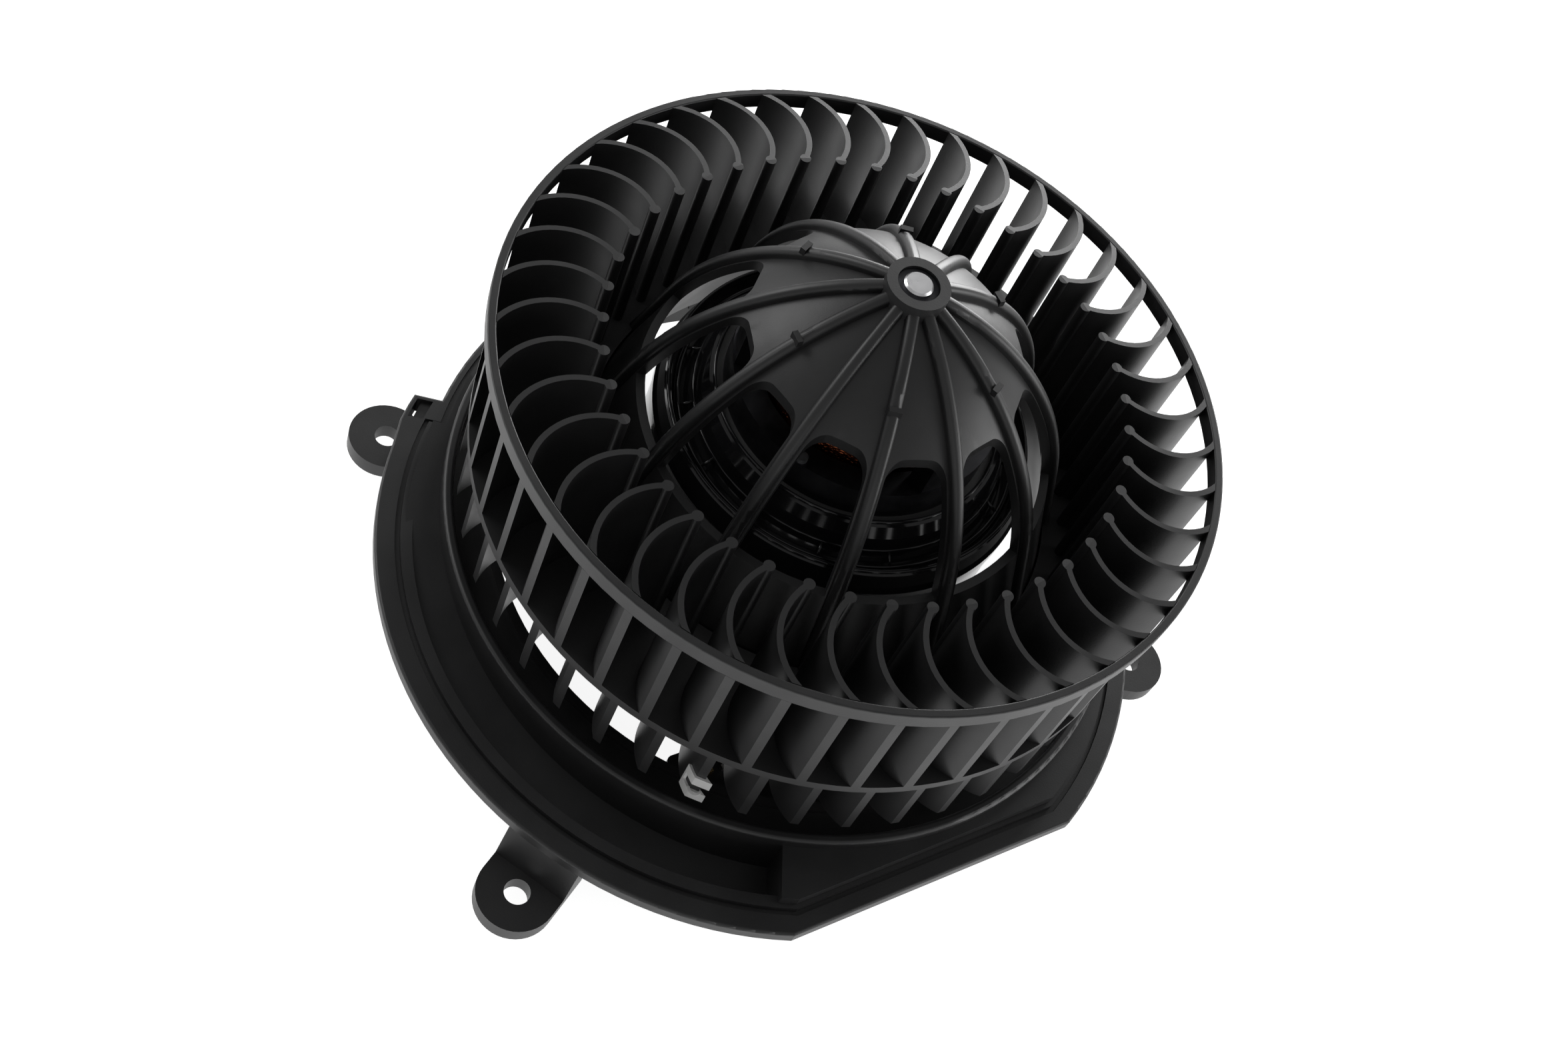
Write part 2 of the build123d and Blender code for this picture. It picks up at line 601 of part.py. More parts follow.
def end_cap():
    """The moulded lower cap: a cup over the yoke's end, with the lower bearing's seat."""
    inner = YOKE_R - YOKE_WALL
    cup_top = LOWER_BEARING_TOP + 0.2
    cup = turned([(0, 0), (END_CAP_R - END_CAP_BEVEL, 0), (END_CAP_R, END_CAP_BEVEL), (END_CAP_R, END_CAP_TOP),
                  (YOKE_R, END_CAP_TOP), (YOKE_R, YOKE_BOTTOM), (inner, YOKE_BOTTOM), (inner, CARD_BOTTOM),
                  (END_CAP_BORE_R, CARD_BOTTOM), (END_CAP_BORE_R, END_CAP_FLOOR),
                  (BEARING_CUP_R, END_CAP_FLOOR), (BEARING_CUP_R, cup_top), (BEARING_R, cup_top),
                  (BEARING_R, LOWER_SEAT), (0, LOWER_SEAT)])
    vent = Pos(VENT_R, 0, -CUT_MARGIN) * extrude(SlotOverall(*VENT_SIZE), END_CAP_FLOOR + 2 * CUT_MARGIN)
    slots = around(vent, VENT_COUNT, 180 / VENT_COUNT)
    lead_holes = [lead_run(side, LEAD_R) for side in (1, -1)]
    return cup.cut(*slots, *lead_holes)


def brush_card():
    """The plate that carries the brush gear, with ledges for its small parts."""
    middle = (CARD_BOTTOM + CARD_TOP) / 2
    depth = 2 * (CARD_TOP - CARD_BOTTOM)
    plate = ring(YOKE_R - YOKE_WALL, CARD_INNER_R, CARD_BOTTOM, CARD_TOP)
    notch = Pos(0, 0, middle) * Box(2 * YOKE_R, CARD_NOTCH_WIDTH, depth)
    plate -= Rot(0, 0, 45) * notch & ring(YOKE_R, CARD_NOTCH_R, CARD_BOTTOM, CARD_TOP)
    holes = [Pos(POST_X * s, POST_Y * s, middle) * Cylinder(POST_R, depth) for s in (1, -1)]
    return plate.cut(*holes)


def brush_posts():
    """The two pivot posts of the brush arms, with heads that keep the arms on."""
    shank = Pos(0, 0, (CARD_BOTTOM + POST_TOP) / 2) * Cylinder(POST_R, POST_TOP - CARD_BOTTOM)
    head = Pos(0, 0, POST_TOP - POST_HEAD_HEIGHT / 2) * Cylinder(POST_HEAD_R, POST_HEAD_HEIGHT)
    post = shank + head
    return Compound([Pos(POST_X * s, POST_Y * s, 0) * post for s in (1, -1)])


def brush_arm():
    """A spring arm that turns on its post, with a flat pad behind the carbon brush."""
    strip = Pos(BRUSH_BACK + ARM_STRIP[0] / 2, ARM_STRIP_Y, BRUSH_Z) * Box(*ARM_STRIP)
    eye = Cylinder(ARM_EYE_R, ARM_EYE_HEIGHT)
    bore = Cylinder(POST_R + ARM_EYE_PLAY, ARM_EYE_HEIGHT + CUT_MARGIN)
    return strip + Pos(POST_X, POST_Y, BRUSH_Z) * eye - Pos(POST_X, POST_Y, BRUSH_Z) * bore


def brush():
    """The carbon block that bears on the commutator."""
    front = COMM_R + BRUSH_GAP
    block = Pos((front + BRUSH_BACK) / 2, 0, BRUSH_Z) * Box(BRUSH_BACK - front, BRUSH_WIDTH, BRUSH_HEIGHT)
    return block - disc(front, BRUSH_Z - BRUSH_HEIGHT, BRUSH_Z + BRUSH_HEIGHT)


def choke_core():
    """A ferrite rod lying across the brush card."""
    return Pos(0, CHOKE_Y, CHOKE_Z) * Rot(0, 90, 0) * Cylinder(CHOKE_CORE_R, CHOKE_CORE_LENGTH)


def choke_coil():
    """The wire wound on the ferrite rod."""
    tube = Cylinder(CHOKE_COIL_R, CHOKE_COIL_LENGTH) - Cylinder(CHOKE_CORE_R, CHOKE_CORE_LENGTH)
    return Pos(0, CHOKE_Y, CHOKE_Z) * Rot(0, 90, 0) * tube


def capacitor():
    """A small film capacitor standing on the brush card."""
    block = Pos(0, CAPACITOR_Y, CARD_TOP + CAPACITOR_SIZE[2] / 2) * Box(*CAPACITOR_SIZE)
    return fillet(block.edges().filter_by(Axis.Z), CAPACITOR_ROUNDING)


# ---- holder and flange


def motor_holder():
    """The glossy cage round the motor: slotted wall, ridged shoulder, bottom lip, screw lugs."""
    inner = HOLDER_R - HOLDER_WALL
    wall = ring(HOLDER_R, inner, HOLDER_BOTTOM, HOLDER_WALL_TOP)
    bottom = ring(HOLDER_R, HOLDER_FLOOR_R, HOLDER_BOTTOM, HOLDER_BOTTOM + HOLDER_FLOOR)
    shoulder = turned(SHOULDER_OUTSIDE + SHOULDER_INSIDE)
    tongue = Pos(LUG_R - LUG_WIDTH / 2, 0) * Rectangle(LUG_WIDTH, LUG_WIDTH)
    tongue += Pos(LUG_R, 0) * Circle(LUG_WIDTH / 2)
    lug = Pos(0, 0, ARM_TOP) * extrude(tongue - Circle(inner + CUT_MARGIN), LUG_THICK)
    lugs = [Rot(0, 0, az) * lug for az in ARM_AZ]
    body = wall.fuse(bottom, shoulder, *lugs)
    slot = Box(4 * HOLDER_WALL, HOLDER_SLOT_WIDTH, HOLDER_SLOT_TOP - HOLDER_SLOT_BOTTOM)
    slot = Pos(HOLDER_R, 0, (HOLDER_SLOT_TOP + HOLDER_SLOT_BOTTOM) / 2) * slot
    holes = [Pos(*polar(LUG_R, az, ARM_TOP)) * Cylinder(SCREW_R + SCREW_PLAY, 4 * LUG_THICK) for az in ARM_AZ]
    return body.cut(*around(slot, HOLDER_SLOT_COUNT, 180 / HOLDER_SLOT_COUNT), *holes)


def holder_screws():
    """Pan-head screws that fasten the holder's lugs to the flange's arms."""
    seat = ARM_TOP + LUG_THICK
    head_top = seat + SCREW_HEAD_HEIGHT
    head = Pos(0, 0, seat + SCREW_HEAD_HEIGHT / 2) * Cylinder(SCREW_HEAD_R, SCREW_HEAD_HEIGHT)
    head = fillet(head.edges().group_by(Axis.Z)[-1], SCREW_HEAD_ROUNDING)
    cross = Rectangle(DRIVE_LENGTH, DRIVE_WIDTH) + Rectangle(DRIVE_WIDTH, DRIVE_LENGTH)
    drive = Pos(0, 0, head_top - DRIVE_DEPTH) * extrude(cross, DRIVE_DEPTH + CUT_MARGIN)
    shank = Pos(0, 0, seat - SCREW_LENGTH / 2) * Cylinder(SCREW_R, SCREW_LENGTH)
    screw = head - drive + shank
    return Compound([Pos(*polar(LUG_R, az)) * screw for az in ARM_AZ])


def beyond_corner(offset):
    """The half-plane past the flange's back-left corner wall, moved inwards by an offset."""
    (ax, ay), (bx, by) = CORNER_LINE
    az = degrees(atan2(by - ay, bx - ax))
    return Pos(ax, ay) * Rot(0, 0, az) * Pos(0, WIDE / 2 - offset) * Rectangle(WIDE, WIDE)


def flange_outline(radius, concentric, chord, offset):
    """The flange in plan: a circle off the wheel's axis, cut at the back corner and one flat side."""
    front = Pos(FLANGE_X, FLANGE_Y) * Circle(radius) - beyond_corner(offset)
    plan = front + Circle(concentric)
    return plan - Pos(0, chord - WIDE / 2) * Rectangle(WIDE, WIDE)


def corner_block():
    """The flange's outer edge beside its back-left corner, in plan."""
    first, *rest = CORNER_AZ
    points = [polar(RIDGE_R, first), polar(FLANGE_R, first)]
    points += [polar(CORNER_R, az) for az in rest]
    points.append(polar(RIDGE_R, rest[-1]))
    outline = make_face(Polyline(*[point[:2] for point in points], close=True))
    return Pos(FLANGE_X, FLANGE_Y) * outline - beyond_corner(0)


def corner_slot():
    """The slot behind the corner's thin walls, in plan."""
    band = beyond_corner(CORNER_WALL + CORNER_SLOT) - beyond_corner(CORNER_WALL)
    span = Circle(CORNER_R - CORNER_WALL) - Circle(CORNER_SLOT_R)
    near = Pos(*CORNER_LINE[0]) * Circle(CORNER_REACH)
    return (Pos(FLANGE_X, FLANGE_Y) * span) & band & near


def corner_walls():
    """The thin walls that hang below the flange's edge round the corner."""
    inside = Pos(FLANGE_X, FLANGE_Y) * Circle(CORNER_R - CORNER_WALL) - beyond_corner(CORNER_WALL)
    plan = corner_block() & beyond_corner(CORNER_WALL + CORNER_SLOT + 1)
    return Pos(0, 0, FLANGE_TOP - CORNER_DEPTH) * extrude(plan - inside, CORNER_DEPTH - FLANGE_ROUNDING)


def slab_under(top, thick):
    """A wide level slab below a height, to cut other shapes to."""
    return Pos(0, 0, top - thick / 2) * Box(WIDE, WIDE, thick)


def scroll_floor():
    """The floor between lip and skirt: level round the back and right, ramped down on the left."""
    region = flange_outline(RIDGE_R - FLOOR_BITE, RIDGE_BACK_R - FLOOR_BITE / 2, RIDGE_CHORD_Y + FLOOR_BITE,
                            CORNER_INSET + FLOOR_BITE)
    region -= Circle(LIP_INNER_R + FLOOR_BITE / 2)
    tall = extrude(region, LIP_TOP)
    ramp_zone = wedge(FLANGE_R * 1.5, SCROLL_END_AZ, 360 + SCROLL_STEP_AZ, -CUT_MARGIN, LIP_TOP + CUT_MARGIN)
    level = (tall - ramp_zone) & slab_under(SCROLL_TOP, FLOOR_THICK)
    low_y = SCROLL_MIDDLE_R * sin(radians(SCROLL_STEP_AZ))
    high_y = SCROLL_MIDDLE_R * sin(radians(SCROLL_END_AZ))
    tilt = degrees(atan2(SCROLL_TOP - SCROLL_LOW, high_y - low_y))
    ramp = tall & ramp_zone & Pos(0, low_y, SCROLL_LOW) * Rot(tilt, 0, 0) * slab_under(0, FLOOR_THICK)
    step = Pos(FLANGE_R, FLOOR_THICK / 2, SCROLL_TOP / 2) * Box(FLANGE_R, FLOOR_THICK, 2 * SCROLL_TOP)
    step = tall & Rot(0, 0, SCROLL_STEP_AZ) * step
    return level, ramp, step & slab_under(SCROLL_TOP, SCROLL_TOP - SCROLL_LOW + 2 * STEP_OVERLAP)


def ear(x, y, neck):
    """One mounting ear: a low round tongue with a sloped root, of half-width neck, up to the flange."""
    dx, dy = x - FLANGE_X, y - FLANGE_Y
    az = degrees(atan2(dy, dx))
    reach = hypot(dx, dy)
    low = EAR_TOP - EAR_THICK
    tongue = Pos(reach - EAR_R / 2, 0) * Rectangle(EAR_R, neck * 2) + Pos(reach, 0) * Circle(EAR_R)
    plate = Pos(0, 0, low) * extrude(tongue, EAR_THICK)
    back = RIDGE_R - ROOT_BITE
    high = FLANGE_TOP - ROOT_BITE
    foot = min(FLANGE_R + ROOT_RUN, reach - EAR_HOLE_R - HOLE_MARGIN)
    outline = Polyline((back, 0, low), (foot, 0, low), (foot, 0, EAR_TOP),
                       (FLANGE_R - ROOT_RUN, 0, high), (back, 0, high), close=True)
    root = Pos(0, neck, 0) * extrude(make_face(outline), neck * 2, dir=(0, -1, 0))
    hole = Pos(reach, 0, EAR_TOP) * Cylinder(EAR_HOLE_R, 4 * EAR_THICK)
    return Pos(FLANGE_X, FLANGE_Y, 0) * Rot(0, 0, az) * (plate + root - hole)


def mounting_flange():
    """The black moulded flange: rim, skirt, ramped floor, lip, three arms and three ears."""
    outline = flange_outline(FLANGE_R, FLANGE_BACK_R, CHORD_Y, 0) + corner_block() - corner_slot()
    ridge = flange_outline(RIDGE_R, RIDGE_BACK_R, RIDGE_CHORD_Y, CORNER_INSET)
    groove = flange_outline(RIDGE_R + GROOVE_WIDTH, RIDGE_BACK_R + GROOVE_WIDTH, RIDGE_CHORD_Y - GROOVE_WIDTH,
                            CORNER_INSET - GROOVE_WIDTH) - ridge
    well = flange_outline(RIDGE_R - SKIRT_WALL, RIDGE_BACK_R - SKIRT_BACK_WALL, RIDGE_CHORD_Y + SKIRT_WALL,
                          CORNER_INSET + SKIRT_CORNER_WALL)
    rim = Pos(0, 0, FLANGE_TOP - FLANGE_THICK) * extrude(outline - well, FLANGE_THICK)
    rim = fillet(rim.faces().sort_by(Axis.Z)[-1].outer_wire().edges(), FLANGE_ROUNDING)
    rim -= Pos(0, 0, FLANGE_TOP - GROOVE_DEPTH) * extrude(groove, GROOVE_DEPTH)
    skirt = Pos(0, 0, SKIRT_BOTTOM) * extrude(ridge - well, FLANGE_TOP + RIDGE_RISE - SKIRT_BOTTOM)
    lip = ring(LIP_OUTER_R, LIP_INNER_R, LIP_BOTTOM, LIP_TOP)
    lip = fillet(lip.edges().group_by(Axis.Z)[-1], LIP_ROUNDING)
    collar = ring(LIP_INNER_R + FLOOR_BITE / 2, OPENING_R, COLLAR_PLATE_TOP - FLOOR_THICK, COLLAR_PLATE_TOP)
    edge = ring(OPENING_R + OPENING_EDGE, OPENING_R, OPENING_EDGE_BOTTOM, COLLAR_PLATE_TOP + OPENING_EDGE / 2)
    seat = ring(HOLDER_R + SEAT_WALL, HOLDER_R + SEAT_PLAY, HOLDER_BOTTOM, ARM_TOP)
    start = HOLDER_R + SEAT_WALL / 2
    beam = Box(ARM_END_R - start, ARM_WIDTH, ARM_THICK)
    beam = Pos((ARM_END_R + start) / 2, 0, ARM_TOP - ARM_THICK / 2) * beam
    fin = Box(FIN_END_R - start, FIN_THICK, FIN_DEPTH)
    fin = Pos((FIN_END_R + start) / 2, 0, ARM_TOP - ARM_THICK - FIN_DEPTH / 2 + FIN_OVERLAP) * fin
    arms = [Rot(0, 0, az) * (beam + fin) for az in ARM_AZ]
    ears = [ear(*place) for place in EARS]
    body = rim.fuse(skirt, lip, collar, edge, seat, corner_walls(), *scroll_floor(), *arms, *ears)
    body = body - disc(HOLDER_R + SEAT_PLAY, 0, LIP_TOP)
    holes = [Pos(*polar(LUG_R, az, ARM_TOP)) * Cylinder(SCREW_R, 2 * ARM_THICK) for az in ARM_AZ]
    holes += [Pos(x, y, EAR_TOP) * Cylinder(EAR_HOLE_R, 5 * EAR_THICK) for x, y, _ in EARS]
    return body.cut(*holes)


# ---- electrical connection


def lead_run(side, radius):
    """The straight run of one lead from inside the end cap to the socket's near wall."""
    start = Vector(*polar(LEAD_START_R, LEAD_START_AZ - LEAD_START_SPREAD * side, LEAD_Z))
    near_wall = CONNECTOR_Y + CONNECTOR_SIZE[1] / 2 - CONNECTOR_WALL
    end = Vector(CONNECTOR_X + TERMINAL_SPACING / 2 * -side, near_wall, LEAD_Z)
    run = (end - start).normalized()
    return sweep(Plane(origin=start, z_dir=run) * Circle(radius), Line(start, end))


def power_connector():
    """The two-way plug socket that hangs from the flange's opening, open at the bottom."""
    width, depth, height = CONNECTOR_SIZE
    block = Pos(0, 0, CONNECTOR_TOP - height / 2) * Box(width, depth, height)
    block = fillet(block.edges().filter_by(Axis.Z), CONNECTOR_WALL)
    cavity = Box(width - 2 * CONNECTOR_WALL, depth - 2 * CONNECTOR_WALL, height)
    cavity = Pos(0, 0, CONNECTOR_TOP - height / 2 - 2 * CONNECTOR_WALL) * cavity
    tab_y = -(depth + CONNECTOR_TAB[1] / 2) / 2
    tab = Pos(CONNECTOR_TAB_SHIFT, tab_y, CONNECTOR_TOP - CONNECTOR_TAB[2] / 2) * Box(*CONNECTOR_TAB)
    tip = Box(TERMINAL_WIDTH, TERMINAL_THICK, 4 * CONNECTOR_WALL)
    slots = [Pos(TERMINAL_SPACING / 2 * side, 0, CONNECTOR_TOP) * tip for side in (1, -1)]
    body = Pos(CONNECTOR_X, CONNECTOR_Y, 0) * (block + tab).cut(cavity, *slots)
    return body.cut(*[lead_run(side, LEAD_R) for side in (1, -1)])


def terminal(side):
    """A flat blade through the socket's roof, with its tip standing above."""
    bottom = CONNECTOR_TOP - CONNECTOR_SIZE[2] + TERMINAL_INSET
    x = CONNECTOR_X - TERMINAL_SPACING / 2 * side
    middle = (TERMINAL_TOP + bottom) / 2
    return Pos(x, CONNECTOR_Y, middle) * Box(TERMINAL_WIDTH, TERMINAL_THICK, TERMINAL_TOP - bottom)


def lead(side):
    """A short insulated lead from the end cap to the socket."""
    return lead_run(side, LEAD_R - LEAD_PLAY)


def main():
    os.makedirs("parts", exist_ok=True)
    save("wheel_rim", wheel_rim())
    save("wheel_upper_blades", upper_blades())
    save("wheel_mid_ring", ring(PLATE_OUTER_R, PLATE_SPLIT_R, PLATE_TOP - PLATE_THICK, PLATE_TOP))
    save("wheel_lower_blades", lower_blades())
    save("wheel_dome", dome())
    save("balance_clip", balance_clip())
    save("motor_shaft", shaft())
    save("shaft_clip", ring(SHAFT_CLIP_R, SHAFT_R, NOSE_TOP - NOSE_BORE_DEPTH, SHAFT_CLIP_TOP))
    save("upper_thrust_washer", ring(WASHER_R, SHAFT_R, UPPER_WASHER_BOTTOM, BOSS_BOTTOM))
    save("lower_thrust_washer", ring(WASHER_R, SHAFT_R, LOWER_WASHER_BOTTOM, COMM_BOTTOM - 1))
    save("armature_core", armature_core())
    save("armature_windings", armature_windings())
    save("commutator_core", commutator_core())
    save("commutator_bars", commutator_bars())
    save("motor_yoke", motor_yoke())
    save("magnet_left", Rot(0, 0, 180) * magnet())
    save("magnet_right", magnet())
    save("magnet_clips", magnet_clips())
    save("upper_bracket", upper_bracket())
    save("bracket_rivets", bracket_rivets())
    save("upper_bearing", ring(BEARING_R + 1, SHAFT_R + RUNNING_GAP, UPPER_SEAT, UPPER_BEARING_TOP))
    save("end_cap", end_cap())
    save("lower_bearing", ring(BEARING_R, SHAFT_R + RUNNING_GAP, LOWER_SEAT, LOWER_BEARING_TOP))
    save("brush_card", brush_card())
    save("brush_posts", brush_posts())
    save("brush_arm_left", Rot(0, 0, 180) * brush_arm())
    save("brush_arm_right", brush_arm())
    save("brush_left", Rot(0, 0, 180) * brush())
    save("brush_right", brush())
    save("choke_core_front", Rot(0, 0, 180) * choke_core())
    save("choke_core_back", choke_core())
    save("choke_coil_front", Rot(0, 0, 180) * choke_coil())
    save("choke_coil_back", choke_coil())
    save("capacitor", capacitor())
    save("motor_holder", motor_holder())
    save("upper_damper", ring(DAMPER_R, YOKE_R, DAMPER_BOTTOM, DAMPER_TOP))
    damper = ring(HOLDER_R - HOLDER_WALL, END_CAP_R, HOLDER_BOTTOM + HOLDER_FLOOR, LOWER_DAMPER_TOP)
    save("lower_damper", damper)
    save("holder_screws", holder_screws())
    save("mounting_flange", mounting_flange())
    save("power_connector", power_connector())
    save("terminal_positive", terminal(1))
    save("terminal_negative", terminal(-1))
    save("lead_positive", lead(1))
    save("lead_negative", lead(-1))


main()
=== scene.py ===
import json
from math import cos, pi, radians, sin

import bmesh
import bpy
from mathutils import Matrix, Vector


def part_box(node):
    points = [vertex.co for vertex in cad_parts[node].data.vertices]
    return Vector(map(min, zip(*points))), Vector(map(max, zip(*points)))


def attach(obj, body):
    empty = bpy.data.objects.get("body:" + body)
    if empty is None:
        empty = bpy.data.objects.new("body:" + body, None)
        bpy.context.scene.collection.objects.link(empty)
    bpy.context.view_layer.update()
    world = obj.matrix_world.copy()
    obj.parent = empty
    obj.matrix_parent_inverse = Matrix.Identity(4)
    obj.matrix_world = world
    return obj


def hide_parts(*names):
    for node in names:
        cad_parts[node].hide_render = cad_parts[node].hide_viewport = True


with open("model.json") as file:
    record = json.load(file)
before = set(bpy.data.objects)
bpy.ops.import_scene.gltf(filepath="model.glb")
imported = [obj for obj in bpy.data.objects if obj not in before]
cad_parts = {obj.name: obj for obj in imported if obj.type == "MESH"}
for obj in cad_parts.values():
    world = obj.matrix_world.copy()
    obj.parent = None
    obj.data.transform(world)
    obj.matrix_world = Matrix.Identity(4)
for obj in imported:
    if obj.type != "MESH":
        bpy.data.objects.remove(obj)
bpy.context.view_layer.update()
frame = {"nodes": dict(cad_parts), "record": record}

# Camera: place, point aimed at, lens and roll, in metres and degrees.
CAMERA_AT = Vector((-0.2103, -0.1685, 0.3798))
CAMERA_AIM = Vector((-0.03483, -0.02641, 0.082))
CAMERA_ROLL = 28.0
CAMERA_LENS = 45.63
CAMERA_SENSOR = 36.0

FLOOR_SIZE = 12.0
FLOOR_DROP = 0.00005
FLOOR_GLOW = 0.9
FLOOR_COLOUR = (0.5, 0.5, 0.5, 1)
WHITE = (1, 1, 1, 1)
SKY = 0.36

# Soft boxes: name, place, point aimed at, size in metres and watts.
SOFT_BOXES = (
    ("key_back_right", (0.90, 0.66, 0.26), (0.03, 0.02, 0.09), (0.8, 0.34), 15.0),
    ("front_fill", (-0.55, -0.75, 0.45), (0, 0, 0.05), (0.6, 0.6), 0.6),
    ("back_left_fill", (-0.45, 0.85, 0.60), (0, 0, 0.06), (0.7, 0.5), 4.5),
    ("right_fill", (0.85, -0.70, 0.30), (0, 0, 0.06), (0.7, 0.4), 5.0),
)

# Fine beads on the holder's shoulder edges: radius, height and bead radius in metres.
SHOULDER_BEADS = (
    (0.0304, 0.0738, 0.00038),
    (0.0334, 0.0680, 0.00032),
    (0.0363, 0.0665, 0.00032),
    (0.0388, 0.0687, 0.00036),
)
SHOULDER_STEPS = 180
SHOULDER_WEBS = 15
SHOULDER_WEB_AZ = -105.0

# Armature winding: slots spanned by one coil, wires a coil shows, and how far they climb the bundle.
SLOT_COUNT = 12
COIL_SPAN = 5
COIL_WIRES = 9
COIL_STEPS = 18
COIL_REACH = 0.0035
COIL_CLIMB = 0.7
WIRE_R = 0.00036
WIRE_STEP = 0.0013
WIRE_FAN = 1.1
BUNDLE_ROUNDING = 0.0045

CHOKE_TURNS = 12
CHOKE_STEPS = 20
CHOKE_WIRE_FIT = 0.97

# Noise scales per metre and bump depths in metres of the procedural finishes.
MOTTLE_SCALE = 60
SHEEN_SCALE = 140
GRAIN_SCALE = 2600
GRAIN_DEPTH = 0.00006
TARNISH_SCALE = 120
MARK_DEPTH = 0.00004


# ---- materials


class Shade:
    """A node material under construction, with short calls for the nodes used here."""

    def __init__(self, name):
        self.material = bpy.data.materials.new(name)
        self.material.use_nodes = True
        self.tree = self.material.node_tree
        self.tree.nodes.clear()
        self.out = self.add("ShaderNodeOutputMaterial")
        self.coords = self.add("ShaderNodeTexCoord").outputs["Object"]

    def add(self, kind):
        return self.tree.nodes.new(kind)

    def link(self, source, target):
        self.tree.links.new(source, target)

    def noise(self, scale, detail=3.0, stretch=(1, 1, 1)):
        """Soft noise in the piece's own space, from 0 to 1."""
        mapping = self.add("ShaderNodeMapping")
        mapping.inputs["Scale"].default_value = stretch
        self.link(self.coords, mapping.inputs["Vector"])
        node = self.add("ShaderNodeTexNoise")
        node.inputs["Scale"].default_value = scale
        node.inputs["Detail"].default_value = detail
        self.link(mapping.outputs["Vector"], node.inputs["Vector"])
        return node.outputs["Fac"]

    def ramp(self, source, stops):
        """A colour between two stops, each a place and a colour."""
        node = self.add("ShaderNodeValToRGB")
        for element, (place, colour) in zip(node.color_ramp.elements, stops):
            element.position = place
            element.color = (*colour, 1)
        self.link(source, node.inputs["Fac"])
        return node.outputs["Color"]

    def span(self, source, low, high):
        """A value from 0 to 1 stretched to another range."""
        node = self.add("ShaderNodeMapRange")
        node.inputs["To Min"].default_value = low
        node.inputs["To Max"].default_value = high
        self.link(source, node.inputs["Value"])
        return node.outputs["Result"]

    def bump(self, height, strength, distance):
        """A normal tilted by a height, with its depth in metres."""
        node = self.add("ShaderNodeBump")
        node.inputs["Strength"].default_value = strength
        node.inputs["Distance"].default_value = distance
        self.link(height, node.inputs["Height"])
        return node.outputs["Normal"]

    def surface(self, colour=None, roughness=None, normal=None, **fixed):
        """The finished material: linked sockets first, then sockets that hold one fixed value."""
        node = self.add("ShaderNodeBsdfPrincipled")
        for key, value in fixed.items():
            node.inputs[key.replace("_", " ")].default_value = value
        for source, name in ((colour, "Base Color"), (roughness, "Roughness"), (normal, "Normal")):
            if source is not None:
                self.link(source, node.inputs[name])
        self.link(node.outputs["BSDF"], self.out.inputs["Surface"])
        return self.material


def plastic(name, dark, light, rough, grain=0.25, specular=0.5):
    """Moulded plastic: faint mottling, a fine spark-eroded grain and uneven gloss."""
    shade = Shade(name)
    colour = shade.ramp(shade.noise(MOTTLE_SCALE, 4), [(0.3, dark), (0.7, light)])
    roughness = shade.span(shade.noise(SHEEN_SCALE), *rough)
    normal = shade.bump(shade.noise(GRAIN_SCALE, 2), grain, GRAIN_DEPTH)
    return shade.surface(colour, roughness, normal, Specular_IOR_Level=specular)


def metal(name, dark, light, rough, stretch=(1, 1, 1), scale=900.0, strength=0.15, metallic=1.0):
    """Metal with fine working marks along one direction and slight tone changes."""
    shade = Shade(name)
    colour = shade.ramp(shade.noise(TARNISH_SCALE), [(0.3, dark), (0.7, light)])
    marks = shade.noise(scale, 3, stretch)
    roughness = shade.span(marks, *rough)
    normal = shade.bump(marks, strength, MARK_DEPTH)
    return shade.surface(colour, roughness, normal, Metallic=metallic)


def grey(value, blue=None):
    """A near-neutral colour, with its blue set apart where it is a shade cooler or warmer."""
    return (value, value, value if blue is None else blue)


# Darker tone, lighter tone, range of roughness, and grain and specular level where they differ.
PLASTICS = {
    "black_plastic": (grey(0.006, 0.0063), grey(0.012, 0.0124), (0.37, 0.5)),
    "gloss_black": (grey(0.004, 0.0045), grey(0.007, 0.0075), (0.07, 0.14), 0.02, 0.4),
    "ferrite": ((0.03, 0.028, 0.027), (0.055, 0.052, 0.05), (0.6, 0.75), 0.6),
    "carbon": (grey(0.03, 0.032), grey(0.05, 0.052), (0.45, 0.6), 0.5),
    "phenolic": ((0.11, 0.045, 0.022), (0.17, 0.075, 0.04), (0.4, 0.5), 0.2),
    "card_plastic": ((0.34, 0.28, 0.19), (0.43, 0.37, 0.27), (0.45, 0.6), 0.3),
    "capacitor_case": ((0.06, 0.12, 0.26), (0.09, 0.17, 0.34), (0.15, 0.25), 0.1),
    "damper_rubber": (grey(0.018), grey(0.03), (0.65, 0.8), 0.6),
    "lead_insulation": (grey(0.014, 0.015), grey(0.025, 0.026), (0.35, 0.5), 0.2),
}

